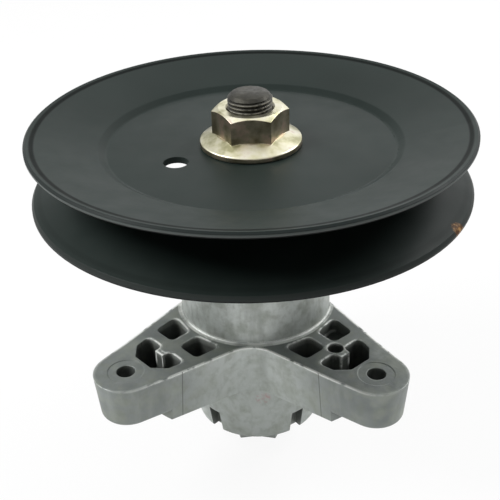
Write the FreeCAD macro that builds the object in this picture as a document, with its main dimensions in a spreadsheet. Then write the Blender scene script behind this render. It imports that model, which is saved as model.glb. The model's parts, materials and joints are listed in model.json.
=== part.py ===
import FreeCAD, Part
import math
import os
import Sketcher

# Mower deck spindle: die-cast housing, shaft on two sealed ball bearings, pressed pulley and nut.
# Millimetres, +Z up the shaft. The origin is on the shaft axis in the plane of the deck, under the arms.

DOC = FreeCAD.newDocument("MowerDeckSpindle")

SIZES = {
    # pulley
    "pulley_radius": 79.375,
    "pulley_sheet": 2.3,
    "pulley_disc_top": 85.8,
    "pulley_upper_rim": 93.85,
    "pulley_lower_rim": 69.15,
    "pulley_rim_band": 2.45,
    "pulley_rim_cut": 0.8,
    "pulley_step_radius": 51.8,
    "pulley_step_width": 2.6,
    "pulley_step_rise": 1.65,
    "pulley_bend": 2.0,
    "pulley_lower_opening": 36.0,
    "pulley_hole_radius": 4.4,
    "pulley_hole_offset": 29.9,
    "pulley_hole_angle": -147.2,
    "drive_clearance": 0.1,
    # flange nut
    "nut_across_flats": 23.8,
    "nut_height": 14.0,
    "nut_flange_radius": 18.3,
    "nut_flange_edge": 2.1,
    "nut_flange_rise": 4.75,
    "nut_flange_neck": 12.6,
    "nut_top_face": 11.3,
    "nut_chamfer_drop": 1.5,
    "nut_bore": 8.0,
    "nut_turn": 3.9,
    # shaft
    "journal_radius": 8.5,
    "journal_top": 85.2,
    "drive_flat": 7.0,
    "drive_length": 4.5,
    "stud_radius": 7.94,
    "stud_top": 104.8,
    "stud_chamfer": 1.4,
    "shoulder_radius": 11.2,
    "collar_radius": 17.0,
    "collar_top": -31.6,
    "collar_bottom": -35.0,
    "star_tip": 14.4,
    "star_root": 11.2,
    "star_bottom": -42.1,
    "blade_tap_radius": 4.25,
    "blade_tap_depth": 26.0,
    # sleeves on the shaft
    "sleeve_bore": 8.6,
    "pulley_sleeve_radius": 13.0,
    "bearing_sleeve_radius": 11.2,
    # housing hub
    "hub_top": 62.0,
    "hub_top_radius": 28.2,
    "hub_base_radius": 29.0,
    "hub_base_height": 17.0,
    "hub_flare": 1.5,
    "hub_flare_sunk": 0.2,
    "front_flare_sweep": 172.0,
    "rear_flare_sweep": 82.0,
    "hub_waist_radius": 29.7,
    "hub_bottom": -31.0,
    "hub_bottom_radius": 24.6,
    "hub_bore": 17.5,
    "hub_edge_round": 1.2,
    "notch_width": 5.4,
    "notch_height": 10.5,
    "notch_depth": 3.0,
    "notch_angle": 39.0,
    # housing arms
    "bolt_circle_radius": 62.86,
    "bolt_hole_radius": 3.4,
    "spot_face_radius": 6.6,
    "spot_face_height": 17.05,
    "arm_tip_radius": 11.9,
    "arm_lean": 10.9,
    "arm_top_at_axis": 19.4,
    "arm_end_top": 17.15,
    "arm_end_start": 55.0,
    "arm_draft": 5.0,
    "arm_corner_round": 12.0,
    "pilot_radius": 54.4,
    "pilot_depth": 3.7,
    "pad_edge_round": 2.0,
    # arm pockets, along and across an arm
    "pocket_floor": 4.5,
    "pocket_round": 2.2,
    "shallow_floor": 13.0,
    "rib_half": 2.2,
    "rib_gap_half": 3.3,
    "inner_start": 31.8,
    "inner_start_outside": 29.6,
    "inner_end": 40.3,
    "inner_half_start": 13.3,
    "inner_half_end": 12.0,
    "outer_start": 44.6,
    "outer_end": 55.3,
    "outer_half_start": 10.8,
    "outer_half_middle": 9.5,
    "outer_half_end": 4.6,
    "outer_middle": 51.0,
    "outer_rib_start": 48.0,
    "outer_rib_top": 8.0,
    "boss_offset": 43.0,
    "boss_radius": 3.5,
    "boss_height": 0.6,
    "boss_recess_radius": 2.95,
    "boss_recess_depth": 4.75,
    # sealed ball bearings
    "bearing_radius": 20.0,
    "bearing_width": 12.0,
    "upper_bearing_middle": 53.0,
    "lower_bearing_middle": -23.2,
    "race_land_inner": 11.9,
    "race_land_outer": 16.6,
    "race_round": 0.6,
    "ball_radius": 3.374,
    "ball_pitch_radius": 14.25,
    "ball_play": 0.12,
    "seal_seat_radius": 17.7,
    "seal_inner_radius": 12.1,
    "seal_thickness": 1.0,
    "seal_recess": 0.3,
    "cage_half_height": 4.1,
    "cage_inner_radius": 13.1,
    "cage_outer_radius": 15.4,
    "rivet_radius": 0.7,
}

LEFT_ARM, RIGHT_ARM, REAR_ARM = -135.0, -45.0, 90.0
ARM_TURNS = (LEFT_ARM, RIGHT_ARM, REAR_ARM)
FRONT, BACK = -90.0, 90.0
BALL_COUNT = 8
STAR_POINTS = 6
FULL_TURN = 360.0
CUT_MARGIN = 5.0

SHEET = DOC.addObject("Spreadsheet::Sheet", "Sizes")
for row, (alias, number) in enumerate(SIZES.items(), start=1):
    SHEET.set("A%d" % row, alias)
    SHEET.set("B%d" % row, str(number))
    SHEET.setAlias("B%d" % row, alias)
DOC.recompute()


class Size:
    """A length held both as a number and as the text of its spreadsheet expression."""

    def __init__(self, value, text):
        self.value = value
        self.text = text

    def joined(self, other, sign, value):
        return Size(value, "(%s %s %s)" % (self.text, sign, as_size(other).text))

    def __add__(self, other):
        return self.joined(other, "+", self.value + as_size(other).value)

    def __sub__(self, other):
        return self.joined(other, "-", self.value - as_size(other).value)

    def __mul__(self, other):
        return self.joined(other, "*", self.value * as_size(other).value)

    def __truediv__(self, other):
        return self.joined(other, "/", self.value / as_size(other).value)

    def __neg__(self):
        return Size(-self.value, "(-%s)" % self.text)


def as_size(number):
    return number if isinstance(number, Size) else Size(float(number), repr(float(number)))


def size(alias):
    return Size(SIZES[alias], "Sizes.%s" % alias)


ZERO = as_size(0)


def new_body(label):
    body = DOC.addObject("PartDesign::Body", label)
    body.Label = label
    return body


def origin_plane(body, role):
    return next(item for item in body.Origin.OriginFeatures if item.Role == role)


def new_sketch(body, role="XY_Plane", height=None, turn=None):
    """A sketch on one of the body's own planes, raised and turned if asked."""
    sketch = body.newObject("Sketcher::SketchObject", "Outline")
    sketch.AttachmentSupport = [(origin_plane(body, role), "")]
    sketch.MapMode = "FlatFace"
    if turn is not None:
        turned_about_z = FreeCAD.Rotation(FreeCAD.Vector(0, 0, 1), turn.value)
        sketch.AttachmentOffset = FreeCAD.Placement(FreeCAD.Vector(), turned_about_z)
        sketch.setExpression("AttachmentOffset.Rotation.Angle", turn.text)
    if height is not None:
        sketch.setExpression("AttachmentOffset.Base.z", height.text)
    return sketch


def hold_point(sketch, geometry, place, x, y):
    """Holds one point of a sketch at x, y from the sketch's origin."""
    for kind, axis, distance in (("DistanceX", -2, x), ("DistanceY", -1, y)):
        if distance.value == 0:
            sketch.addConstraint(Sketcher.Constraint("PointOnObject", geometry, place, axis))
        else:
            number = sketch.addConstraint(
                Sketcher.Constraint(kind, -1, 1, geometry, place, distance.value))
            sketch.setExpression("Constraints[%d]" % number, distance.text)


def hold_radius(sketch, geometry, radius):
    number = sketch.addConstraint(Sketcher.Constraint("Radius", geometry, radius.value))
    sketch.setExpression("Constraints[%d]" % number, radius.text)


def draw_outline(sketch, corners):
    """A closed outline of straight lines; a corner is (x, y) or, when rounded, (x, y, radius)."""
    points = [FreeCAD.Vector(corner[0].value, corner[1].value, 0) for corner in corners]
    count = len(points)
    starts, ends, centres = [], [], []
    for i, corner in enumerate(corners):
        radius = corner[2].value if len(corner) > 2 else 0.0
        back = (points[i - 1] - points[i]).normalize()
        ahead = (points[(i + 1) % count] - points[i]).normalize()
        half = back.getAngle(ahead) / 2
        starts.append(points[i] + back * (radius / math.tan(half)))
        ends.append(points[i] + ahead * (radius / math.tan(half)))
        centres.append(points[i] + (back + ahead).normalize() * (radius / math.sin(half)))
    lines = []
    for i in range(count):
        lines.append(sketch.addGeometry(Part.LineSegment(ends[i], starts[(i + 1) % count])))
    for i, corner in enumerate(corners):
        before, after = lines[i - 1], lines[i]
        if len(corner) == 2:
            sketch.addConstraint(Sketcher.Constraint("Coincident", before, 2, after, 1))
            hold_point(sketch, after, 1, corner[0], corner[1])
            continue
        first, last = starts[i] - centres[i], ends[i] - centres[i]
        left_turn = first.cross(last).z > 0
        angles = [math.atan2(arm.y, arm.x) for arm in (first, last)]
        if not left_turn:
            angles.reverse()
        circle = Part.Circle(centres[i], FreeCAD.Vector(0, 0, 1), corner[2].value)
        arc = sketch.addGeometry(Part.ArcOfCircle(circle, angles[0], angles[1]))
        arc_start, arc_end = (1, 2) if left_turn else (2, 1)
        tip = sketch.addGeometry(Part.Point(points[i]), True)
        hold_point(sketch, tip, 1, corner[0], corner[1])
        sketch.addConstraint(Sketcher.Constraint("PointOnObject", tip, 1, before))
        sketch.addConstraint(Sketcher.Constraint("PointOnObject", tip, 1, after))
        sketch.addConstraint(Sketcher.Constraint("Tangent", before, 2, arc, arc_start))
        sketch.addConstraint(Sketcher.Constraint("Tangent", after, 1, arc, arc_end))
        hold_radius(sketch, arc, corner[2])


def draw_circle(sketch, x, y, radius):
    centre = FreeCAD.Vector(x.value, y.value, 0)
    circle = sketch.addGeometry(Part.Circle(centre, FreeCAD.Vector(0, 0, 1), radius.value))
    hold_point(sketch, circle, 3, x, y)
    hold_radius(sketch, circle, radius)


def turn_profile(body, corners, kind="PartDesign::Revolution", facing=0.0):
    """Revolves an outline, given in radius and height, about Z from the direction it faces."""
    sketch = new_sketch(body, "XZ_Plane")
    upright = FreeCAD.Vector(0, 1, 0)
    sketch.AttachmentOffset = FreeCAD.Placement(FreeCAD.Vector(), FreeCAD.Rotation(upright, facing))
    draw_outline(sketch, corners)
    feature = body.newObject(kind, "Turned")
    feature.Profile = sketch
    feature.ReferenceAxis = (sketch, ["V_Axis"])
    feature.Angle = FULL_TURN
    body.Tip = feature
    return feature


def groove_profile(body, corners):
    return turn_profile(body, corners, "PartDesign::Groove")


def extrude(body, sketch, kind, length, downwards):
    """Pads or pockets a sketch by a length, up or down from its own plane."""
    feature = body.newObject(kind, "Extruded")
    feature.Profile = sketch
    feature.setExpression("Length", length.text)
    cuts = kind == "PartDesign::Pocket"
    feature.Reversed = downwards != cuts
    body.Tip = feature
    return feature


def pad(body, sketch, length, downwards=False):
    return extrude(body, sketch, "PartDesign::Pad", length, downwards)


def pocket(body, sketch, length, downwards=True):
    return extrude(body, sketch, "PartDesign::Pocket", length, downwards)


def repeat_round(body, features, count):
    pattern = body.newObject("PartDesign::PolarPattern", "Repeated")
    pattern.Originals = features
    axis = next(item for item in body.Origin.OriginFeatures if item.Role == "Z_Axis")
    pattern.Axis = (axis, [""])
    pattern.Angle = FULL_TURN
    pattern.Occurrences = count
    body.Tip = pattern
    return pattern


def round_edges(body, chosen, radius):
    """Fillets those edges of the body for which chosen(edge) is true."""
    DOC.recompute()
    base = body.Tip
    names = ["Edge%d" % (i + 1) for i, edge in enumerate(base.Shape.Edges) if chosen(edge)]
    fillet = body.newObject("PartDesign::Fillet", "Rounded")
    fillet.Base = (base, names)
    fillet.setExpression("Radius", radius.text)
    body.Tip = fillet


def middle_of(edge):
    return edge.valueAt((edge.FirstParameter + edge.LastParameter) / 2)


def plan_radius(point):
    return math.hypot(point.x, point.y)


def place_at(thing, height, turn=None):
    if turn is not None:
        turned_about_z = FreeCAD.Rotation(FreeCAD.Vector(0, 0, 1), turn.value)
        thing.Placement = FreeCAD.Placement(FreeCAD.Vector(), turned_about_z)
        thing.setExpression("Placement.Rotation.Angle", turn.text)
    thing.setExpression("Placement.Base.z", height.text)


def tube(label, inner, outer, bottom, top):
    body = new_body(label)
    turn_profile(body, [(inner, ZERO), (outer, ZERO), (outer, top - bottom), (inner, top - bottom)])
    place_at(body, bottom)
    return body


def rim_edge(top, top_slope, bottom, bottom_slope):
    """The corners of a sheave half's edge from its upper to its lower side, where both are cut off."""
    rim, cut = size("pulley_radius"), size("pulley_rim_cut")
    return [(rim - cut, top - cut * top_slope), (rim, top - cut),
            (rim, bottom + cut), (rim - cut, bottom - cut * bottom_slope)]


def make_pulley_upper_half():
    """Upper sheave half: flat centre, a small step and a flange rising to the rim."""
    body = new_body("pulley_upper_half")
    disc, sheet, rim = size("pulley_disc_top"), size("pulley_sheet"), size("pulley_radius")
    step, bend = size("pulley_step_radius"), size("pulley_bend")
    flange = step + size("pulley_step_width")
    flange_top, rim_top = disc + size("pulley_step_rise"), size("pulley_upper_rim")
    rim_under = rim_top - size("pulley_rim_band")
    slope = (rim_top - flange_top) / (rim - flange)
    under_slope = (rim_under - flange_top + sheet) / (rim - flange)
    turn_profile(body, [
        (ZERO, disc), (step, disc, bend), (flange, flange_top, bend),
        *rim_edge(rim_top, slope, rim_under, under_slope),
        (flange, flange_top - sheet, bend), (step, disc - sheet, bend), (ZERO, disc - sheet)])
    drive = new_sketch(body, height=disc)
    clearance = size("drive_clearance")
    draw_double_flat(drive, size("journal_radius") + clearance, size("drive_flat") + clearance)
    pocket(body, drive, sheet)
    hole = new_sketch(body, height=disc, turn=size("pulley_hole_angle"))
    draw_circle(hole, size("pulley_hole_offset"), ZERO, size("pulley_hole_radius"))
    pocket(body, hole, sheet)
    return body


def draw_double_flat(sketch, radius, flat):
    """A round with two flats, across Y."""
    reach = math.sqrt(radius.value ** 2 - flat.value ** 2)
    corner = math.atan2(flat.value, reach)
    circle = Part.Circle(FreeCAD.Vector(), FreeCAD.Vector(0, 0, 1), radius.value)
    right = sketch.addGeometry(Part.ArcOfCircle(circle, -corner, corner))
    left = sketch.addGeometry(Part.ArcOfCircle(circle, math.pi - corner, math.pi + corner))
    upper = sketch.addGeometry(
        Part.LineSegment(FreeCAD.Vector(reach, flat.value, 0), FreeCAD.Vector(-reach, flat.value, 0)))
    lower = sketch.addGeometry(
        Part.LineSegment(FreeCAD.Vector(-reach, -flat.value, 0), FreeCAD.Vector(reach, -flat.value, 0)))
    for first, end, second, start in ((right, 2, upper, 1), (upper, 2, left, 1),
                                      (left, 2, lower, 1), (lower, 2, right, 1)):
        sketch.addConstraint(Sketcher.Constraint("Coincident", first, end, second, start))
    for arc in (right, left):
        sketch.addConstraint(Sketcher.Constraint("Coincident", arc, 3, -1, 1))
        hold_radius(sketch, arc, radius)
    for line, height in ((upper, flat), (lower, -flat)):
        sketch.addConstraint(Sketcher.Constraint("Horizontal", line))
        number = sketch.addConstraint(Sketcher.Constraint("DistanceY", -1, 1, line, 1, height.value))
        sketch.setExpression("Constraints[%d]" % number, height.text)


def make_pulley_lower_half():
    """Lower sheave half: a flat ring under the upper half, flaring down to the lower rim."""
    body = new_body("pulley_lower_half")
    sheet, rim, bend = size("pulley_sheet"), size("pulley_radius"), size("pulley_bend")
    top = size("pulley_disc_top") - sheet
    step, opening = size("pulley_step_radius"), size("pulley_lower_opening")
    under_step, rim_bottom = step - sheet / 4, size("pulley_lower_rim")
    rim_top = rim_bottom + size("pulley_rim_band")
    slope = (rim_top - top) / (rim - step)
    under_slope = (rim_bottom - top + sheet) / (rim - under_step)
    turn_profile(body, [
        (opening, top), (step, top, bend), *rim_edge(rim_top, slope, rim_bottom, under_slope),
        (under_step, top - sheet, bend), (opening, top - sheet)])
    return body


def make_nut():
    """Hex flange nut with a coned flange and a chamfered top."""
    body = new_body("pulley_nut")
    flange, edge = size("nut_flange_radius"), size("nut_flange_edge")
    half = size("nut_across_flats") / 2
    height, bore = size("nut_height"), size("nut_bore")
    hexagon = new_sketch(body)
    corner = half / math.cos(math.pi / 6)
    side = corner / 2
    draw_outline(hexagon, [
        (side, half), (-side, half), (-corner, ZERO), (-side, -half), (side, -half), (corner, ZERO)])
    pad(body, hexagon, height)
    turn_profile(body, [
        (ZERO, ZERO), (flange, ZERO, edge / 3), (flange, edge, edge / 3),
        (size("nut_flange_neck"), size("nut_flange_rise")), (ZERO, size("nut_flange_rise"))])
    top_face, drop = size("nut_top_face"), size("nut_chamfer_drop")
    run = corner - top_face
    groove_profile(body, [
        (top_face, height), (corner + run, height - drop * 2), (corner + run, height + drop),
        (top_face, height + drop)])
    lead = size("nut_chamfer_drop") / 2
    groove_profile(body, [
        (ZERO, ZERO), (bore + lead, ZERO), (bore, lead), (bore, height - lead), (bore + lead, height),
        (ZERO, height)])
    place_at(body, size("pulley_disc_top"), size("nut_turn"))
    return body


def make_shaft():
    """Shaft: blade collar and star pilot below, bearing journal, drive flats and a stud end."""
    body = new_body("spindle_shaft")
    journal, stud, stud_top = size("journal_radius"), size("stud_radius"), size("stud_top")
    chamfer, journal_top = size("stud_chamfer"), size("journal_top")
    seat = size("lower_bearing_middle") - size("bearing_width") / 2
    collar, shoulder = size("collar_radius"), size("shoulder_radius")
    collar_top, collar_bottom = size("collar_top"), size("collar_bottom")
    turn_profile(body, [
        (ZERO, collar_bottom), (collar, collar_bottom), (collar, collar_top), (shoulder, collar_top),
        (shoulder, seat), (journal, seat), (journal, journal_top), (stud, journal_top),
        (stud, stud_top - chamfer), (stud - chamfer, stud_top), (ZERO, stud_top)])
    star = new_sketch(body, height=collar_bottom)
    draw_star(star, size("star_tip"), size("star_root"))
    pad(body, star, collar_bottom - size("star_bottom"), downwards=True)
    flats = new_sketch(body, height=journal_top)
    draw_circle(flats, ZERO, ZERO, journal * 2)
    draw_double_flat(flats, journal, size("drive_flat"))
    pocket(body, flats, size("drive_length"))
    tap, depth = size("blade_tap_radius"), size("blade_tap_depth")
    bottom = size("star_bottom")
    point = bottom + depth + tap / 2
    groove_profile(body, [(ZERO, bottom), (tap, bottom), (tap, bottom + depth), (ZERO, point)])
    return body


def draw_star(sketch, tip, root):
    """A star of straight lines, with a point along X."""
    corners = []
    for i in range(STAR_POINTS):
        corners.append(on_ray(tip, FULL_TURN * i / STAR_POINTS))
        corners.append(on_ray(root, FULL_TURN * (i + 0.5) / STAR_POINTS))
    draw_outline(sketch, corners)


def sine(angle):
    return Size(math.sin(math.radians(angle.value)), "sin(%s * 1 deg)" % angle.text)


def on_ray(distance, angle):
    """The x and y of a point at a distance from the axis, in a fixed direction."""
    turned = math.radians(angle)
    return distance * round(math.cos(turned), 9), distance * round(math.sin(turned), 9)


def draw_arms(sketch):
    """The arms in plan: a star whose points are rounded to bolt ends and whose corners are rounded too."""
    lean, tip = size("arm_lean"), size("arm_tip_radius")
    apex = size("bolt_circle_radius") + tip / sine(lean)
    corners = []
    for i, turn in enumerate(ARM_TURNS):
        half_gap = (ARM_TURNS[(i + 1) % len(ARM_TURNS)] - turn) % FULL_TURN / 2
        corner = apex * sine(lean) / sine(lean + half_gap)
        corners.append(on_ray(apex, turn) + (tip,))
        corners.append(on_ray(corner, turn + half_gap) + (size("arm_corner_round"),))
    draw_outline(sketch, corners)


def draw_inner_pocket(sketch, side):
    """The pocket beside the hub, on one side of an arm's middle rib."""
    rounding = size("pocket_round")
    draw_outline(sketch, [
        (size("inner_start"), size("rib_half") * side, rounding),
        (size("inner_end"), size("rib_half") * side, rounding),
        (size("inner_end"), size("inner_half_end") * side, rounding),
        (size("inner_start_outside"), size("inner_half_start") * side, rounding)])


def draw_outer_pocket(sketch, side):
    """The pocket beside the bolt end, on one side of an arm's middle rib."""
    rounding = size("pocket_round")
    draw_outline(sketch, [
        (size("outer_start"), size("rib_half") * side, rounding),
        (size("outer_end"), size("rib_half") * side, rounding / 2),
        (size("outer_end"), size("outer_half_end") * side, rounding / 2),
        (size("outer_middle"), size("outer_half_middle") * side, rounding),
        (size("outer_start"), size("outer_half_start") * side, rounding)])


def add_arms(body):
    """Arms with draft, tops that fall to the bolt ends, and a step below that pilots in the deck."""
    top, pilot = size("arm_top_at_axis"), size("pilot_depth")
    outline = new_sketch(body, height=top)
    draw_arms(outline)
    arms = pad(body, outline, top + pilot, downwards=True)
    arms.setExpression("TaperAngle", (-size("arm_draft")).text)
    reach = size("bolt_circle_radius") + size("arm_tip_radius") + CUT_MARGIN
    end_top = size("arm_end_top")
    groove_profile(body, [
        (ZERO, top), (size("arm_end_start"), end_top), (reach, end_top), (reach, top + CUT_MARGIN),
        (ZERO, top + CUT_MARGIN)])
    groove_profile(body, [
        (size("pilot_radius"), ZERO), (reach, ZERO), (reach, -pilot - CUT_MARGIN),
        (size("pilot_radius"), -pilot - CUT_MARGIN)])

    def under_pad(edge):
        middle = middle_of(edge)
        flat = edge.BoundBox.ZLength < 1e-6 and abs(middle.z) < 1e-6
        return flat and plan_radius(middle) > SIZES["pilot_radius"] + 1

    round_edges(body, under_pad, size("pad_edge_round"))


def add_hub(body):
    """Upper and lower hub in one turned form, with a flared foot where it stands on the arms."""
    base, base_height = size("hub_base_radius"), size("hub_base_height")
    edge, flare, sunk = size("hub_edge_round"), size("hub_flare"), size("hub_flare_sunk")
    turn_profile(body, [
        (ZERO, size("hub_top")), (size("hub_top_radius"), size("hub_top"), edge), (base, base_height),
        (size("hub_waist_radius"), ZERO), (size("hub_bottom_radius"), size("hub_bottom"), edge),
        (ZERO, size("hub_bottom"))])
    fall = (size("arm_top_at_axis") - size("arm_end_top")) * base / size("arm_end_start")
    foot = size("arm_top_at_axis") - fall - sunk
    inside, wall, outside = base - flare, base - sunk, base + flare
    for facing, sweep in ((FRONT, size("front_flare_sweep")), (BACK, size("rear_flare_sweep"))):
        ring = turn_profile(body, [
            (inside, foot - flare), (outside, foot - flare), (outside, foot), (wall, foot, flare),
            (wall, foot + flare + sunk), (inside, foot + flare + sunk)], facing=facing)
        ring.setExpression("Angle", sweep.text)
        ring.Midplane = True


def add_bearing_seats(body):
    seat, bore = size("bearing_radius"), size("hub_bore")
    half = size("bearing_width") / 2
    upper_shoulder = size("upper_bearing_middle") - half
    lower_shoulder = size("lower_bearing_middle") + half
    over, under = size("hub_top") + CUT_MARGIN, size("hub_bottom") - CUT_MARGIN
    groove_profile(body, [
        (ZERO, over), (seat, over), (seat, upper_shoulder), (bore, upper_shoulder),
        (bore, lower_shoulder), (seat, lower_shoulder), (seat, under), (ZERO, under)])


def cut_from_top(body, turn, depth, draw, *settings):
    """Cuts an outline, drawn along one arm, down from the arms' greatest height."""
    sketch = new_sketch(body, height=size("arm_top_at_axis"), turn=as_size(turn))
    draw(sketch, *settings)
    pocket(body, sketch, depth)


def draw_rib_gap(sketch):
    """The length of an arm's middle rib that is cut low, so that the outer pockets join."""
    half, start, end = size("rib_gap_half"), size("outer_rib_start"), size("outer_end")
    draw_outline(sketch, [(start, -half), (end, -half), (end, half), (start, half)])


def add_arm_pockets(body):
    """Blind pockets around a cross of ribs with a round boss; the right arm's boss is sunk instead."""
    top, floor = size("arm_top_at_axis"), size("pocket_floor")
    offset, radius = size("boss_offset"), size("boss_radius")
    for turn in ARM_TURNS:
        sunk = turn == RIGHT_ARM
        inner_floor = size("shallow_floor") if sunk else floor
        cut_from_top(body, turn, top - floor, draw_inner_pocket, -1)
        cut_from_top(body, turn, top - inner_floor, draw_inner_pocket, 1)
        cut_from_top(body, turn, top - floor, draw_outer_pocket, -1)
        cut_from_top(body, turn, top - floor, draw_outer_pocket, 1)
        cut_from_top(body, turn, top - size("outer_rib_top"), draw_rib_gap)
        boss_top = size("spot_face_height") + size("boss_height")
        boss = new_sketch(body, height=floor, turn=as_size(turn))
        draw_circle(boss, offset, ZERO, radius)
        pad(body, boss, boss_top - floor)
        if sunk:
            recess_floor = boss_top - size("boss_recess_depth")
            cut_from_top(body, turn, top - recess_floor, draw_circle, offset, ZERO,
                         size("boss_recess_radius"))


def add_bolt_holes(body):
    """A through hole and a flat spot face at the end of each arm."""
    top, offset = size("arm_top_at_axis"), size("bolt_circle_radius")
    for turn in ARM_TURNS:
        cut_from_top(body, turn, top - size("spot_face_height"), draw_circle, offset, ZERO,
                     size("spot_face_radius"))
        cut_from_top(body, turn, top + size("pilot_depth"), draw_circle, offset, ZERO,
                     size("bolt_hole_radius"))


def add_rim_notches(body):
    """Upright notches in the lower hub's rim, a pair in front and a pair behind."""
    floor = size("hub_bottom_radius") - size("notch_depth")
    outside, half = size("hub_waist_radius"), size("notch_width") / 2
    for side in (FRONT, BACK):
        for turn in (-size("notch_angle") + side, size("notch_angle") + side):
            notch = new_sketch(body, height=size("hub_bottom"), turn=turn)
            draw_outline(notch, [(floor, -half), (outside, -half), (outside, half), (floor, half)])
            pocket(body, notch, size("notch_height"), downwards=False)


def make_housing():
    body = new_body("spindle_housing")
    add_arms(body)
    add_hub(body)
    add_bearing_seats(body)
    add_arm_pockets(body)
    add_bolt_holes(body)
    add_rim_notches(body)
    return body


def make_race(label, middle, wall, land, raceway_side):
    """A bearing race: a ring with a ball groove turned in the wall that faces the balls."""
    body = new_body(label)
    half, edge = size("bearing_width") / 2, size("race_round")
    turn_profile(body, [
        (wall, -half, edge), (wall, half, edge), (land, half), (land, -half)])
    if raceway_side > 0:
        seat, ledge = size("seal_seat_radius"), half - size("seal_recess") - size("seal_thickness")
        for side in (1, -1):
            groove_profile(body, [
                (land - edge, half * side), (seat, half * side), (seat, ledge * side),
                (land - edge, ledge * side)])
    cut_ball_groove(body)
    place_at(body, middle)
    return body


def cut_ball_groove(body):
    """Turns away the ring of space that the balls run in, with a little play."""
    sketch = new_sketch(body, "XZ_Plane")
    draw_circle(sketch, size("ball_pitch_radius"), ZERO, size("ball_radius") + size("ball_play"))
    feature = body.newObject("PartDesign::Groove", "BallGroove")
    feature.Profile = sketch
    feature.ReferenceAxis = (sketch, ["V_Axis"])
    feature.Angle = FULL_TURN
    body.Tip = feature


def ring_of(label, kind, sizes, middle, first_angle, centre_height):
    """A group of like solids spaced round the ball pitch circle."""
    solids = []
    for i in range(BALL_COUNT):
        solid = DOC.addObject(kind, "%s_piece" % label)
        for name, amount in sizes.items():
            solid.setExpression(name, amount.text)
        angle = math.radians(first_angle + FULL_TURN * i / BALL_COUNT)
        pitch = size("ball_pitch_radius")
        solid.setExpression("Placement.Base.x", (pitch * math.cos(angle)).text)
        solid.setExpression("Placement.Base.y", (pitch * math.sin(angle)).text)
        solid.setExpression("Placement.Base.z", centre_height.text)
        solids.append(solid)
    group = DOC.addObject("Part::Compound", label)
    group.Label = label
    group.Links = solids
    place_at(group, middle)
    return group


def make_cage_half(label, middle, side):
    """Half of a riveted cage: a ring with a round pocket for each ball and rivet holes between them."""
    body = new_body(label)
    height = size("cage_half_height") * side
    inner, outer = size("cage_inner_radius"), size("cage_outer_radius")
    turn_profile(body, [(inner, ZERO), (outer, ZERO), (outer, height), (inner, height)])
    pitch, room = size("ball_pitch_radius"), size("ball_radius") + size("ball_play")
    ball = body.newObject("PartDesign::SubtractiveSphere", "BallPocket")
    ball.setExpression("Radius", room.text)
    ball.AttachmentSupport = [(origin_plane(body, "XY_Plane"), "")]
    ball.MapMode = "FlatFace"
    ball.setExpression("AttachmentOffset.Base.x", pitch.text)
    body.Tip = ball
    rivet = new_sketch(body, turn=as_size(FULL_TURN / BALL_COUNT / 2))
    draw_circle(rivet, pitch, ZERO, size("rivet_radius"))
    rivet_hole = pocket(body, rivet, size("cage_half_height"), downwards=side < 0)
    repeat_round(body, [ball, rivet_hole], BALL_COUNT)
    place_at(body, middle)
    return body


def make_bearing(name, middle):
    """A sealed deep-groove ball bearing with a riveted two-piece cage."""
    half = size("bearing_width") / 2
    seal_outer, seal_inner = size("seal_seat_radius"), size("seal_inner_radius")
    seal_top = half - size("seal_recess")
    seal_bottom = seal_top - size("seal_thickness")
    cage = size("cage_half_height")
    return [
        make_race(name + "_outer_race", middle, size("bearing_radius"), size("race_land_outer"), 1),
        make_race(name + "_inner_race", middle, size("journal_radius"), size("race_land_inner"), -1),
        ring_of(name + "_balls", "Part::Sphere", {"Radius": size("ball_radius")}, middle, 0.0, ZERO),
        make_cage_half(name + "_cage_upper_half", middle, 1),
        make_cage_half(name + "_cage_lower_half", middle, -1),
        ring_of(name + "_cage_rivets", "Part::Cylinder",
                {"Radius": size("rivet_radius"), "Height": cage * 2}, middle,
                FULL_TURN / BALL_COUNT / 2, -cage),
        tube(name + "_upper_seal", seal_inner, seal_outer, middle + seal_bottom, middle + seal_top),
        tube(name + "_lower_seal", seal_inner, seal_outer, middle - seal_top, middle - seal_bottom)]


def make_all():
    half = size("bearing_width") / 2
    upper, lower = size("upper_bearing_middle"), size("lower_bearing_middle")
    pulley_underside = size("pulley_disc_top") - size("pulley_sheet")
    bore = size("sleeve_bore")
    return [
        make_housing(),
        make_shaft(),
        make_pulley_upper_half(),
        make_pulley_lower_half(),
        make_nut(),
        tube("pulley_spacer", bore, size("pulley_sleeve_radius"), upper + half, pulley_underside),
        tube("bearing_spacer", bore, size("bearing_sleeve_radius"), lower + half, upper - half),
        *make_bearing("upper_bearing", upper),
        *make_bearing("lower_bearing", lower)]


PARTS = make_all()
DOC.recompute()
for thing in DOC.Objects:
    if "Invalid" in thing.State or "Error" in thing.State:
        raise RuntimeError("%s did not build: %s" % (thing.Label, thing.State))
os.makedirs("parts", exist_ok=True)
for part in PARTS:
    pieces = BALL_COUNT if part.TypeId == "Part::Compound" else 1
    if not part.Shape.isValid() or len(part.Shape.Solids) != pieces:
        raise RuntimeError("%s has no sound shape" % part.Label)
    part.Shape.exportStep(os.path.join("parts", part.Label + ".step"))
    box = part.Shape.BoundBox
    print("%-34s solids %d  volume %9.1f  z %7.2f to %7.2f  radius %6.2f" % (
        part.Label, len(part.Shape.Solids), part.Shape.Volume, box.ZMin, box.ZMax, box.XMax))
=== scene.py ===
import json
import math

import bmesh
import bpy
from mathutils import Euler, Matrix, Vector


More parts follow.
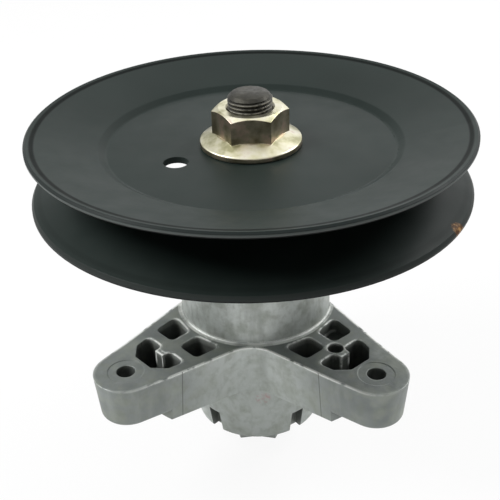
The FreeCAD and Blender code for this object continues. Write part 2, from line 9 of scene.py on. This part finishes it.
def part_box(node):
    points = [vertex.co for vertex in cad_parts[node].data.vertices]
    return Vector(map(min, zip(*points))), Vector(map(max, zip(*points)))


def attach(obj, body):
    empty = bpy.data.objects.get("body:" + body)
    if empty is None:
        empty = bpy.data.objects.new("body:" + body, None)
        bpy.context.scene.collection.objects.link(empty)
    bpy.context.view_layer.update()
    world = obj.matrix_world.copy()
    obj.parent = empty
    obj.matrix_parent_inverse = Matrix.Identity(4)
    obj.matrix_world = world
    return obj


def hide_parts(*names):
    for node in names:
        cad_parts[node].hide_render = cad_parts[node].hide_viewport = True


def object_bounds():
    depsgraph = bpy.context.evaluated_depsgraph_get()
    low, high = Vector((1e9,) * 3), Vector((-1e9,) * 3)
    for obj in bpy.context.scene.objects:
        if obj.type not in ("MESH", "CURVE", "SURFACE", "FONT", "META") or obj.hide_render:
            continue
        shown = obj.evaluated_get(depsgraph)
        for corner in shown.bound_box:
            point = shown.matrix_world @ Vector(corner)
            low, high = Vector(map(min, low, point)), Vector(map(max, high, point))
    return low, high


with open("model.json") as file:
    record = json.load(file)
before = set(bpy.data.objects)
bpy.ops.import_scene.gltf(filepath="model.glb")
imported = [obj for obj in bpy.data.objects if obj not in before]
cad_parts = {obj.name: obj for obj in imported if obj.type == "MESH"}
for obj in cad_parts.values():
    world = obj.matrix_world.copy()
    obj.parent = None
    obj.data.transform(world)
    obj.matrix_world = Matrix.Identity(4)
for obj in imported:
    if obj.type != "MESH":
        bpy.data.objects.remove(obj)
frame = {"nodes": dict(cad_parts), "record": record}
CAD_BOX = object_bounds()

NODES = frame["nodes"]
MM = 0.001
FLOOR_HEIGHT = CAD_BOX[0][2]
NUT_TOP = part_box("pulley_nut")[1][2]
STUD_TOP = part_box("spindle_shaft")[1][2]
PULLEY_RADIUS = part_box("pulley_lower_half")[1][0]
UPPER_RIM_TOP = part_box("pulley_upper_half")[1][2]
LOWER_RIM_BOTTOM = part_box("pulley_lower_half")[0][2]
HOUSING_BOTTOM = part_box("spindle_housing")[0][2]

# The photograph's camera, placed from a point on the shaft at the height of the pulley's rim
CAMERA_TARGET_HEIGHT = 93.3 * MM
IMAGE_SIZE = 500
FOCAL_PIXELS = 941.5
SENSOR_WIDTH_MM = 36.0
CAMERA_YAW = math.radians(3.88)
CAMERA_ELEVATION = math.radians(30.57)
CAMERA_ROLL = math.radians(1.856)
CAMERA_DISTANCE = 332.9 * MM
CAMERA_LEFT = 0.2 * MM
CAMERA_DOWN = 44.8 * MM
CAMERA_CLIP_START = 10.0 * MM

# The studio
WHITE = (1, 1, 1, 1)
FLOOR_TONE = (0.9, 0.9, 0.9, 1)
FLOOR_HALF_SIZE = 3.0
FLOOR_WHITENESS = 0.92
DOME_STRENGTH = 0.1
LIGHT_TARGET = Vector((0, 0, 40.0)) * MM

# The stud's 5/8 in thread
THREAD_PITCH = 1.411 * MM
THREAD_RADIUS = 7.94 * MM
THREAD_DEPTH = 0.75 * MM
THREAD_CHAMFER = 1.4 * MM
THREAD_START = NUT_TOP - 2.0 * MM
FLANK_SLOPE = 2.6
SEGMENTS_ROUND = 128
STEPS_PER_PITCH = 14
MERGE_DISTANCE = 0.001 * MM
SHARP_ANGLE = math.radians(35)

# The shaft's steel, which is bright below the housing
STUD_DARK = (0.012, 0.0115, 0.0085)
STUD_LIGHT = (0.036, 0.034, 0.0255)
CREST_WEAR_AND_HIGHLIGHT = (0.2, 0.19, 0.16)
END_DARK = (0.28, 0.3, 0.28)
END_LIGHT = (0.36, 0.385, 0.36)
END_HEIGHTS = (HOUSING_BOTTOM + 2.0 * MM, HOUSING_BOTTOM + 1.0 * MM)

# The pulley's coating, with painted highlight and shade on its rims and a painted shade line at each
# crease, and a rusty chip in the lower rim
COAT_DARK = (0.0128, 0.0188, 0.0168)
COAT_LIGHT = (0.0178, 0.0252, 0.0228)
COAT_GLOSS = 0.065
RIM_WIDTH = 0.9 * MM
RIM_HEIGHT = 2.1 * MM
CREASE_INSET = 2.8 * MM
CREASE_WIDTHS = (1.2 * MM, 0.4 * MM)
CREASE_SHADE_TONE = (0.003, 0.0045, 0.004)
CREASE_DULLING = 0.7
CHIP_PLACE = Vector((69.6, -37.5, 70.2)) * MM
CHIP_RADIUS = 3.6 * MM
RUST_DARK = (0.08, 0.035, 0.012)
RUST_LIGHT = (0.42, 0.24, 0.1)

# The casting: its upright walls are lighter towards the middle, partly a cleaner surface and partly painted
# light, which grows up the hub
CAST_DARK = (0.16, 0.178, 0.172)
CAST_LIGHT = (0.26, 0.283, 0.273)
CLEAN_AND_LIT_RADII = (62.0 * MM, 30.0 * MM)
CLEAN_AND_LIT_SHARE = 0.75
CAST_METALLIC = 0.5
CLEAN_METALLIC_LOSS = 0.3
HOLLOW_METALLIC_LOSS = 0.5
CLEAN_AND_LIT_LOW = (0.51, 0.55, 0.52)
CLEAN_AND_LIT_HIGH = (0.86, 0.91, 0.87)
PAINTED_LIGHT_HEIGHTS = (-10.0 * MM, 40.0 * MM)
STREAK_TONE = (0.34, 0.365, 0.34)
STREAK_SHARE = 0.8
PATCH_TONE = (0.3, 0.325, 0.275)
PATCH_SHARE = 0.55
GRAIN_TONE = (0.2, 0.22, 0.175)
GRAIN_SHARE = 0.3

# Painted shade darkens its hollows, most of all the arms' pockets
HOLLOW_REACH = 12.0 * MM
HOLLOW_OPENNESS = (0.65, 0.28)
POCKET_OPENNESS = (0.9, 0.5)
POCKET_HEIGHTS = (17.0 * MM, 15.0 * MM)
HOLLOW_SHADE_SHARE = 0.85
HOLLOW_SHADE_TONE = (0.05, 0.055, 0.05)

# Bright marks, partly wear and partly painted highlight: along the arms' top edges that face away from the
# hub, and a painted highlight round the hub's foot
WEAR_AND_HIGHLIGHT_TONE = (0.86, 0.88, 0.84)
EDGE_MARK_RADIUS = 2.2 * MM
EDGE_MARK_HEIGHTS = (11.0 * MM, 14.0 * MM)
EDGE_MARK_RADII = (80.0 * MM, 50.0 * MM)
HIGHLIGHT_FACING = (-0.1, 0.35)
FOOT_RADIUS = 29.9 * MM
FOOT_WIDTHS = (1.0 * MM, 0.5 * MM)
FOOT_HEIGHTS = (15.0 * MM, 17.0 * MM)
BOLT_CIRCLE_RADIUS = 62.86 * MM
LEFT_BOLT = Vector((-1, -1, 0)).normalized() * BOLT_CIRCLE_RADIUS
RIGHT_BOLT = Vector((1, -1, 0)).normalized() * BOLT_CIRCLE_RADIUS
REAR_BOLT = Vector((0, 1, 0)) * BOLT_CIRCLE_RADIUS
UNMARKED_BOLT_RADII = (7.5 * MM, 9.0 * MM)

# Its other marks: a fine line across each front arm's walls, and two red stains
LINE_DISTANCE = 48.7 * MM
LINE_WIDTHS = (0.2 * MM, 0.1 * MM)
LINE_TONE = (0.12, 0.13, 0.12)
STAIN_PLACES = [Vector((3.4, -28.3, -7.7)) * MM, Vector((20.1, -19.6, 12.0)) * MM]
STAIN_RADIUS = 3.4 * MM
STAIN_TONE = (0.42, 0.26, 0.25)

# Settings that the surfaces share, and how they tell edges, upright faces and ragged spots
NOISE_ROUGHNESS = 0.55
BUMP_DISTANCE = 0.4 * MM
RAY_SAMPLES = 8
EDGE_TURN = (0.995, 0.9)
UPRIGHT_RISE = (0.4, 0.3)
SPOT_OUTSIDE = 1.55
SPOT_INSIDE = 1.25


class Surface:
    """A node material with its principled shader, and short ways to add and join nodes."""

    def __init__(self, name):
        self.material = bpy.data.materials.new(name)
        self.material.use_nodes = True
        self.tree = self.material.node_tree
        self.shader = self.tree.nodes["Principled BSDF"]

    def fill(self, socket, value):
        if isinstance(value, bpy.types.NodeSocket):
            self.tree.links.new(value, socket)
        else:
            socket.default_value = value

    def add(self, kind, inputs=None, **settings):
        node = self.tree.nodes.new(kind)
        for key, value in settings.items():
            setattr(node, key, value)
        for key, value in (inputs or {}).items():
            self.fill(node.inputs[key], value)
        return node

    def shade(self, **inputs):
        """Fills inputs of the shader, named with _ for spaces."""
        for key, value in inputs.items():
            self.fill(self.shader.inputs[key.replace("_", " ")], value)

    def place(self):
        return self.add("ShaderNodeTexCoord").outputs["Object"]

    def height(self):
        return self.add("ShaderNodeSeparateXYZ", {0: self.place()}).outputs["Z"]

    def flat_place(self):
        return self.vector("MULTIPLY", self.place(), (1, 1, 0))["Vector"]

    def plan_distance(self, place):
        """Distance from an upright line through a place at zero height."""
        return self.vector("DISTANCE", self.flat_place(), place)["Value"]

    def plan_radius(self):
        return self.plan_distance((0, 0, 0))

    def math(self, operation, *values):
        node = self.add("ShaderNodeMath", dict(enumerate(values)), operation=operation)
        return node.outputs["Value"]

    def times(self, first, *others):
        """The product of two or more values."""
        for other in others:
            first = self.math("MULTIPLY", first, other)
        return first

    def vector(self, operation, *values):
        node = self.add("ShaderNodeVectorMath", dict(enumerate(values)), operation=operation)
        return node.outputs

    def fade(self, value, start, end):
        """Goes smoothly from 0 where the value is at its start to 1 at its end."""
        node = self.add("ShaderNodeMapRange", {"Value": value, "From Min": start, "From Max": end},
                        interpolation_type="SMOOTHSTEP")
        return node.outputs["Result"]

    def band(self, value, middle, outer, inner):
        """1 where the value is within the inner distance of the middle, and 0 past the outer one."""
        off = self.math("ABSOLUTE", self.math("SUBTRACT", value, middle))
        return self.fade(off, outer, inner)

    def noise(self, scale, detail=4.0, stretch=(1, 1, 1)):
        mapping = self.add("ShaderNodeMapping", {"Vector": self.place(), "Scale": stretch})
        place = mapping.outputs["Vector"]
        texture = self.add("ShaderNodeTexNoise", {
            "Vector": place, "Scale": scale, "Detail": detail, "Roughness": NOISE_ROUGHNESS})
        return texture.outputs["Fac"]

    def ramp(self, factor, stops):
        """A colour ramp over (position, colour) stops."""
        node = self.add("ShaderNodeValToRGB", {"Fac": factor})
        elements = node.color_ramp.elements
        while len(elements) < len(stops):
            elements.new(0.5)
        for element, (position, colour) in zip(elements, stops):
            element.position = position
            element.color = (*colour, 1.0)
        return node.outputs["Color"]

    def clouds(self, low, high, scale, detail=4.0, start=0.3, end=0.7):
        """A colour that wanders between a low and a high one."""
        return self.ramp(self.noise(scale, detail), [(start, low), (end, high)])

    def blend(self, factor, first, colour):
        """The first tone, and the colour where the factor is 1."""
        second = colour if isinstance(colour, bpy.types.NodeSocket) else (*colour, 1.0)
        node = self.add("ShaderNodeMixRGB", {"Fac": factor, "Color1": first, "Color2": second})
        return node.outputs["Color"]

    def spot(self, centre, radius):
        """1 inside a ragged patch round a place, and 0 outside it."""
        away = self.vector("DISTANCE", self.place(), centre)["Value"]
        ragged = self.math("MULTIPLY_ADD", self.noise(350.0), radius, away)
        return self.fade(ragged, radius * SPOT_OUTSIDE, radius * SPOT_INSIDE)

    def face_normal(self):
        return self.add("ShaderNodeNewGeometry").outputs["Normal"]

    def upright(self):
        """1 on faces that stand upright, and 0 on the others."""
        rise = self.add("ShaderNodeSeparateXYZ", {0: self.face_normal()}).outputs["Z"]
        return self.fade(self.math("ABSOLUTE", rise), *UPRIGHT_RISE)

    def rounded_normal(self, radius):
        return self.add("ShaderNodeBevel", {"Radius": radius}, samples=RAY_SAMPLES).outputs["Normal"]

    def edges(self, radius):
        """1 along the edges of the solid, and 0 on its faces."""
        turned = self.vector("DOT_PRODUCT", self.face_normal(), self.rounded_normal(radius))["Value"]
        return self.fade(turned, *EDGE_TURN)

    def openness(self, distance):
        """1 where a surface lies open, and less down in hollows."""
        node = self.add("ShaderNodeAmbientOcclusion", {"Distance": distance}, samples=RAY_SAMPLES)
        return node.outputs["AO"]

    def bump(self, height, strength, normal):
        node = self.add("ShaderNodeBump", {
            "Height": height, "Strength": strength, "Distance": BUMP_DISTANCE, "Normal": normal})
        return node.outputs["Normal"]


def grey(level):
    return (level, level, level)


def painted_hollow_shade(surface):
    """How much painted shade darkens the casting down in its hollows, which starts sooner in the pockets
    and bolt holes.
    """
    openness = surface.openness(HOLLOW_REACH)
    low = surface.fade(surface.height(), *POCKET_HEIGHTS)
    pockets = surface.times(surface.fade(openness, *POCKET_OPENNESS), low)
    hollow_shade = surface.math("MAXIMUM", surface.fade(openness, *HOLLOW_OPENNESS), pockets)
    return surface.times(hollow_shade, HOLLOW_SHADE_SHARE)


def worn_and_highlit_edges(surface):
    """Bright patches along the arms' top edges that face away from the hub, but not round the bolt holes:
    partly wear and partly painted highlight.
    """
    patches = surface.fade(surface.noise(260.0), 0.34, 0.5)
    high = surface.fade(surface.height(), *EDGE_MARK_HEIGHTS)
    wear_and_highlight = surface.times(surface.edges(EDGE_MARK_RADIUS), patches, high)
    for bolt in (LEFT_BOLT, RIGHT_BOLT, REAR_BOLT):
        wear_and_highlight = surface.times(wear_and_highlight, surface.fade(surface.plan_distance(bolt), *UNMARKED_BOLT_RADII))
    outward = surface.vector("NORMALIZE", surface.flat_place())["Vector"]
    facing = surface.vector("DOT_PRODUCT", surface.rounded_normal(EDGE_MARK_RADIUS), outward)["Value"]
    near = surface.fade(surface.plan_radius(), *EDGE_MARK_RADII)
    return surface.times(wear_and_highlight, near, surface.fade(facing, *HIGHLIGHT_FACING))


def hub_foot_highlight(surface):
    """A painted highlight, in patches, round the flared foot of the hub, where it stands on the arms."""
    ring = surface.band(surface.plan_radius(), FOOT_RADIUS, *FOOT_WIDTHS)
    high = surface.fade(surface.height(), *FOOT_HEIGHTS)
    return surface.times(ring, high, surface.fade(surface.noise(90.0), 0.3, 0.6))


def arm_line(surface, bolt):
    """A fine upright line on the side walls of the arm that holds a bolt."""
    along = surface.vector("DOT_PRODUCT", surface.place(), bolt.normalized())["Value"]
    return surface.times(surface.band(along, LINE_DISTANCE, *LINE_WIDTHS), surface.upright())


def cast_aluminium():
    """As-cast aluminium: dull grey with a faint green cast, cloudy and streaked, with painted light on its
    walls, painted shade in its hollows, and bright edges that are partly wear and partly painted highlight.
    """
    surface = Surface("cast_aluminium")
    tone = surface.clouds(CAST_DARK, CAST_LIGHT, 70.0, detail=6.0, end=0.72)
    # Painted light, partly a cleaner surface: the upright walls near the middle are lightened, more so
    # higher up
    clean_and_lit = surface.times(surface.fade(surface.plan_radius(), *CLEAN_AND_LIT_RADII), surface.upright())
    rise = surface.fade(surface.height(), *PAINTED_LIGHT_HEIGHTS)
    clean_and_lit_tone = surface.ramp(rise, [(0.0, CLEAN_AND_LIT_LOW), (1.0, CLEAN_AND_LIT_HIGH)])
    tone = surface.blend(surface.times(clean_and_lit, CLEAN_AND_LIT_SHARE), tone, clean_and_lit_tone)
    streaks = surface.fade(surface.noise(120.0, stretch=(1, 1, 0.15)), 0.5, 0.8)
    tone = surface.blend(surface.times(streaks, STREAK_SHARE), tone, STREAK_TONE)
    patches = surface.fade(surface.noise(150.0, detail=5.0), 0.42, 0.68)
    tone = surface.blend(surface.times(patches, PATCH_SHARE), tone, PATCH_TONE)
    # Painted shade in the hollows, which are also made less metallic further down
    hollow_shade = painted_hollow_shade(surface)
    tone = surface.blend(hollow_shade, tone, HOLLOW_SHADE_TONE)
    grain = surface.fade(surface.noise(420.0, detail=5.0, stretch=(1, 1, 0.6)), 0.45, 0.7)
    tone = surface.blend(surface.times(grain, GRAIN_SHARE), tone, GRAIN_TONE)
    # Wear and painted highlights on the arms' edges, and a painted highlight round the hub's foot
    wear_and_highlight = surface.math("MAXIMUM", worn_and_highlit_edges(surface), hub_foot_highlight(surface))
    tone = surface.blend(wear_and_highlight, tone, WEAR_AND_HIGHLIGHT_TONE)
    for bolt in (LEFT_BOLT, RIGHT_BOLT):
        tone = surface.blend(arm_line(surface, bolt), tone, LINE_TONE)
    for place in STAIN_PLACES:
        specks = surface.fade(surface.noise(700.0), 0.4, 0.8)
        tone = surface.blend(surface.times(surface.spot(place, STAIN_RADIUS), specks), tone, STAIN_TONE)
    metal = surface.math("MULTIPLY_ADD", clean_and_lit, -CLEAN_METALLIC_LOSS, CAST_METALLIC)
    metal = surface.math("MULTIPLY_ADD", hollow_shade, -HOLLOW_METALLIC_LOSS, metal)
    roughness = surface.clouds(grey(0.42), grey(0.56), 300.0)
    normal = surface.bump(surface.noise(800.0, detail=6.0), 0.15, surface.rounded_normal(0.5 * MM))
    surface.shade(Base_Color=tone, Metallic=metal, Roughness=roughness, Normal=normal)
    return surface.material


def black_coat(name, rim_base, painted_rim_tones, crease_shade_share):
    """Satin charcoal coating over pressed steel; the rim has painted bands of highlight and shade over its
    height, and a painted shade line runs round the crease.
    """
    surface = Surface(name)
    tone = surface.clouds(COAT_DARK, COAT_LIGHT, 30.0, detail=5.0)
    # Painted highlight and shade in bands up the rim
    part_way = surface.math("DIVIDE", surface.math("SUBTRACT", surface.height(), rim_base), RIM_HEIGHT)
    rim_start = PULLEY_RADIUS - RIM_WIDTH
    on_rim = surface.fade(surface.plan_radius(), rim_start, rim_start + 0.2 * RIM_WIDTH)
    tone = surface.blend(on_rim, tone, surface.ramp(part_way, painted_rim_tones))
    # A painted shade line round the crease, which also dulls the gloss there
    crease_shade = surface.band(surface.plan_radius(), PULLEY_RADIUS - CREASE_INSET, *CREASE_WIDTHS)
    crease_shade = surface.times(crease_shade, crease_shade_share)
    tone = surface.blend(crease_shade, tone, CREASE_SHADE_TONE)
    rust = surface.clouds(RUST_DARK, RUST_LIGHT, 600.0, start=0.42, end=0.6)
    tone = surface.blend(surface.spot(CHIP_PLACE, CHIP_RADIUS), tone, rust)
    roughness = surface.clouds(grey(0.38), grey(0.46), 120.0)
    normal = surface.bump(surface.noise(1200.0, detail=2.0), 0.02, surface.rounded_normal(0.3 * MM))
    surface.shade(Base_Color=tone, Roughness=roughness, Normal=normal)
    # The export can't follow the gloss's link, so the socket holds a plain value too.
    surface.shade(Specular_IOR_Level=COAT_GLOSS)
    gloss = surface.math("MULTIPLY_ADD", crease_shade, -CREASE_DULLING * COAT_GLOSS, COAT_GLOSS)
    surface.shade(Specular_IOR_Level=gloss)
    return surface.material


def upper_coat():
    """The upper half's coating: its rim has a painted highlight band between a lower edge in painted shade
    and a dark top.
    """
    rim_light_and_shade = [(0.1, grey(0.01)), (0.3, (0.11, 0.123, 0.118)), (0.6, (0.09, 0.102, 0.097)),
             (0.72, (0.016, 0.021, 0.02))]
    return black_coat("black_coat", UPPER_RIM_TOP - RIM_HEIGHT, rim_light_and_shade, crease_shade_share=0.9)


def lower_coat():
    """The lower half's coating: its rim is in painted shade at the bottom, and its painted crease shade is
    faint.
    """
    rim_light_and_shade = [(0.3, grey(0.008)), (0.42, (0.035, 0.04, 0.038)), (0.95, (0.024, 0.029, 0.027))]
    return black_coat("black_coat_lower", LOWER_RIM_BOTTOM, rim_light_and_shade, crease_shade_share=0.15)


def yellow_zinc():
    """Pale yellow zinc plating with an uneven, slightly iridescent tone; the nut's upright flats take a
    darker, browner tone, which is painted shade.
    """
    surface = Surface("yellow_zinc")
    pale = surface.ramp(surface.noise(140.0, detail=3.0), [
        (0.34, (0.27, 0.26, 0.15)), (0.46, (0.46, 0.44, 0.31)), (0.58, (0.52, 0.5, 0.41)),
        (0.68, (0.42, 0.34, 0.28))])
    shaded_flat_tone = surface.ramp(surface.noise(180.0, detail=3.0), [
        (0.35, (0.2, 0.17, 0.105)), (0.52, (0.36, 0.32, 0.23)), (0.66, (0.56, 0.42, 0.33))])
    # Painted shade: the upright flats get the darker, browner tone
    tone = surface.blend(surface.upright(), pale, shaded_flat_tone)
    roughness = surface.clouds(grey(0.28), grey(0.38), 250.0, detail=2.0)
    normal = surface.rounded_normal(0.3 * MM)
    surface.shade(Base_Color=tone, Metallic=0.95, Roughness=roughness, Normal=normal)
    return surface.material


def shaft_steel():
    """The shaft: a dark, slightly brown stud whose crests are paler, partly wear and partly painted
    highlight, and a brighter lower end.
    """
    surface = Surface("dark_steel")
    stud = surface.clouds(STUD_DARK, STUD_LIGHT, 220.0)
    # Paler crests: partly wear, partly a painted highlight
    worn_and_lit_crests = surface.fade(surface.plan_radius(), THREAD_RADIUS - THREAD_DEPTH / 3, THREAD_RADIUS)
    worn_and_lit_crests = surface.times(worn_and_lit_crests, surface.fade(surface.noise(500.0), 0.35, 0.6))
    stud = surface.blend(worn_and_lit_crests, stud, CREST_WEAR_AND_HIGHLIGHT)
    lower_end = surface.fade(surface.height(), *END_HEIGHTS)
    tone = surface.blend(lower_end, stud, surface.clouds(END_DARK, END_LIGHT, 220.0))
    roughness = surface.clouds(grey(0.45), grey(0.65), 500.0)
    normal = surface.bump(surface.noise(900.0, detail=5.0), 0.35, surface.face_normal())
    surface.shade(Base_Color=tone, Metallic=0.65, Roughness=roughness, Normal=normal)
    return surface.material


def steel(name, low, high, rough_low, rough_high):
    """Turned or ground steel with slight tone changes."""
    surface = Surface(name)
    roughness = surface.clouds(grey(rough_low), grey(rough_high), 500.0)
    surface.shade(Base_Color=surface.clouds(low, high, 150.0), Metallic=1.0, Roughness=roughness)
    return surface.material


def seal_rubber():
    surface = Surface("seal_rubber")
    surface.shade(Base_Color=surface.clouds(grey(0.012), grey(0.025), 200.0), Roughness=0.6)
    return surface.material


def make_materials():
    return {
        "cast_aluminium": cast_aluminium(),
        "black_coat": upper_coat(),
        "black_coat_lower": lower_coat(),
        "yellow_zinc": yellow_zinc(),
        "dark_steel": shaft_steel(),
        "turned_steel": steel("turned_steel", grey(0.38), grey(0.5), 0.25, 0.4),
        "bearing_steel": steel("bearing_steel", grey(0.5), grey(0.6), 0.18, 0.3),
        "polished_steel": steel("polished_steel", grey(0.62), grey(0.7), 0.05, 0.12),
        "cage_steel": steel("cage_steel", (0.4, 0.38, 0.34), (0.5, 0.47, 0.43), 0.3, 0.45),
        "seal_rubber": seal_rubber()}


def dress_nodes(materials):
    """Gives each node its slot's material; the pulley's lower half has a coating of its own."""
    for subpart in frame["record"]["subparts"]:
        slots = NODES[subpart["node"]].data.materials
        slots.clear()
        slots.append(materials[subpart["material_slot"]])
    NODES["pulley_lower_half"].data.materials[0] = materials["black_coat_lower"]


def thread_profile(height, angle):
    """Radius of the threaded stud at a height and angle, with the chamfer at its end."""
    turn = (height / THREAD_PITCH - angle / math.tau) % 1.0
    ridge = min(abs(turn - 0.5) * FLANK_SLOPE, 1.0)
    limit = THREAD_RADIUS - max(0.0, height - (STUD_TOP - THREAD_CHAMFER))
    return min(THREAD_RADIUS - THREAD_DEPTH * (1.0 - ridge), limit)


def add_thread(mesh):
    """Adds the threaded end as rings of points, closed at the top, and gives its first ring's edges.

    The first ring, inside the nut, is round at the thread's root.
    """
    steps = math.ceil((STUD_TOP - THREAD_START) / THREAD_PITCH * STEPS_PER_PITCH)
    rings = []
    for i in range(steps + 1):
        height = THREAD_START + (STUD_TOP - THREAD_START) * i / steps
        ring = []
        for k in range(SEGMENTS_ROUND):
            angle = math.tau * k / SEGMENTS_ROUND
            radius = thread_profile(height, angle) if i else THREAD_RADIUS - THREAD_DEPTH
            ring.append(mesh.verts.new((radius * math.cos(angle), radius * math.sin(angle), height)))
        rings.append(ring)
    for lower, upper in zip(rings, rings[1:]):
        for k in range(SEGMENTS_ROUND):
            after = (k + 1) % SEGMENTS_ROUND
            mesh.faces.new((lower[k], lower[after], upper[after], upper[k]))
    mesh.faces.new(rings[-1])
    first = rings[0]
    return [mesh.edges.get((point, first[k - 1])) for k, point in enumerate(first)]


def threaded_shaft(material):
    """The shaft again, with its plain stud end exchanged for one with a real thread."""
    mesh = bmesh.new()
    mesh.from_mesh(NODES["spindle_shaft"].data)
    bmesh.ops.remove_doubles(mesh, verts=mesh.verts, dist=MERGE_DISTANCE)
    everything = mesh.verts[:] + mesh.edges[:] + mesh.faces[:]
    cut = bmesh.ops.bisect_plane(mesh, geom=everything, plane_co=(0, 0, THREAD_START), plane_no=(0, 0, 1),
                                 clear_outer=True)["geom_cut"]
    shoulder = [part for part in cut if isinstance(part, bmesh.types.BMEdge)]
    bmesh.ops.bridge_loops(mesh, edges=shoulder + add_thread(mesh))
    bmesh.ops.recalc_face_normals(mesh, faces=mesh.faces)
    data = bpy.data.meshes.new("threaded_shaft")
    mesh.to_mesh(data)
    mesh.free()
    data.shade_smooth()
    data.set_sharp_from_angle(angle=SHARP_ANGLE)
    data.materials.append(material)
    piece = bpy.data.objects.new("threaded_shaft", data)
    bpy.context.scene.collection.objects.link(piece)
    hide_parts("spindle_shaft")
    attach(piece, "rotor")


def make_camera():
    """The camera of the photograph."""
    yaw = Euler((0, 0, CAMERA_YAW)).to_matrix()
    tilt = Euler((math.pi / 2 - CAMERA_ELEVATION, 0, 0)).to_matrix()
    roll = Euler((0, 0, -CAMERA_ROLL)).to_matrix()
    turn = yaw @ tilt @ roll
    target = Vector((0, 0, CAMERA_TARGET_HEIGHT))
    place = target + turn @ Vector((-CAMERA_LEFT, -CAMERA_DOWN, CAMERA_DISTANCE))
    data = bpy.data.cameras.new("photo_camera")
    data.sensor_width = SENSOR_WIDTH_MM
    data.lens = FOCAL_PIXELS * SENSOR_WIDTH_MM / IMAGE_SIZE
    data.clip_start = CAMERA_CLIP_START
    camera = bpy.data.objects.new("photo_camera", data)
    camera.matrix_world = Matrix.Translation(place) @ turn.to_4x4()
    bpy.context.scene.collection.objects.link(camera)
    bpy.context.scene.camera = camera


def area_light(name, place, size, power):
    """A round soft light aimed at the middle of the spindle."""
    data = bpy.data.lights.new(name, "AREA")
    data.shape = "DISK"
    data.size = size
    data.energy = power
    light = bpy.data.objects.new(name, data)
    light.location = place
    aim = LIGHT_TARGET - Vector(place)
    light.rotation_euler = aim.to_track_quat("-Z", "Y").to_euler()
    bpy.context.scene.collection.objects.link(light)


def make_lights():
    area_light("left", place=(-0.8, -0.15, 0.85), size=0.6, power=12.5)
    area_light("right", place=(0.8, 0.4, 0.75), size=0.6, power=8.0)
    area_light("overhead", place=(0.0, 0.0, 1.3), size=1.6, power=4.5)
    area_light("back", place=(0.3, 1.2, 0.6), size=1.4, power=3.5)


def background_rays(tree):
    """1 for rays from the camera and those sent on by gloss or glass, which see the background as white."""
    path = tree.nodes.new("ShaderNodeLightPath")
    seen = path.outputs["Is Camera Ray"]
    for name in ("Is Glossy Ray", "Is Transmission Ray"):
        either = tree.nodes.new("ShaderNodeMath")
        either.operation = "MAXIMUM"
        tree.links.new(seen, either.inputs[0])
        tree.links.new(path.outputs[name], either.inputs[1])
        seen = either.outputs[0]
    return seen


def make_floor():
    """A pale floor that looks white and keeps a light shadow."""
    mesh = bmesh.new()
    bmesh.ops.create_grid(mesh, x_segments=1, y_segments=1, size=FLOOR_HALF_SIZE)
    data = bpy.data.meshes.new("floor")
    mesh.to_mesh(data)
    mesh.free()
    floor = bpy.data.objects.new("floor", data)
    floor.location.z = FLOOR_HEIGHT
    bpy.context.scene.collection.objects.link(floor)
    surface = Surface("floor")
    surface.shade(Base_Color=FLOOR_TONE, Roughness=0.9)
    glow = surface.add("ShaderNodeEmission", {"Color": WHITE, "Strength": 1.0})
    share = surface.times(background_rays(surface.tree), FLOOR_WHITENESS)
    mix = surface.add("ShaderNodeMixShader", {0: share, 1: surface.shader.outputs[0], 2: glow.outputs[0]})
    surface.tree.links.new(mix.outputs[0], surface.tree.nodes["Material Output"].inputs["Surface"])
    data.materials.append(surface.material)


def make_world():
    """A dim, even dome that the camera sees as white."""
    world = bpy.data.worlds.new("studio")
    world.use_nodes = True
    bpy.context.scene.world = world
    tree = world.node_tree
    dome = tree.nodes["Background"]
    dome.inputs["Color"].default_value = WHITE
    dome.inputs["Strength"].default_value = DOME_STRENGTH
    white = tree.nodes.new("ShaderNodeBackground")
    white.inputs["Color"].default_value = WHITE
    white.inputs["Strength"].default_value = 1.0
    mix = tree.nodes.new("ShaderNodeMixShader")
    tree.links.new(background_rays(tree), mix.inputs[0])
    tree.links.new(dome.outputs[0], mix.inputs[1])
    tree.links.new(white.outputs[0], mix.inputs[2])
    tree.links.new(mix.outputs[0], tree.nodes["World Output"].inputs["Surface"])


materials = make_materials()
dress_nodes(materials)
threaded_shaft(materials["dark_steel"])
make_floor()
make_world()
make_lights()
make_camera()
bpy.context.scene.view_settings.view_transform = "Standard"
bpy.context.view_layer.update()
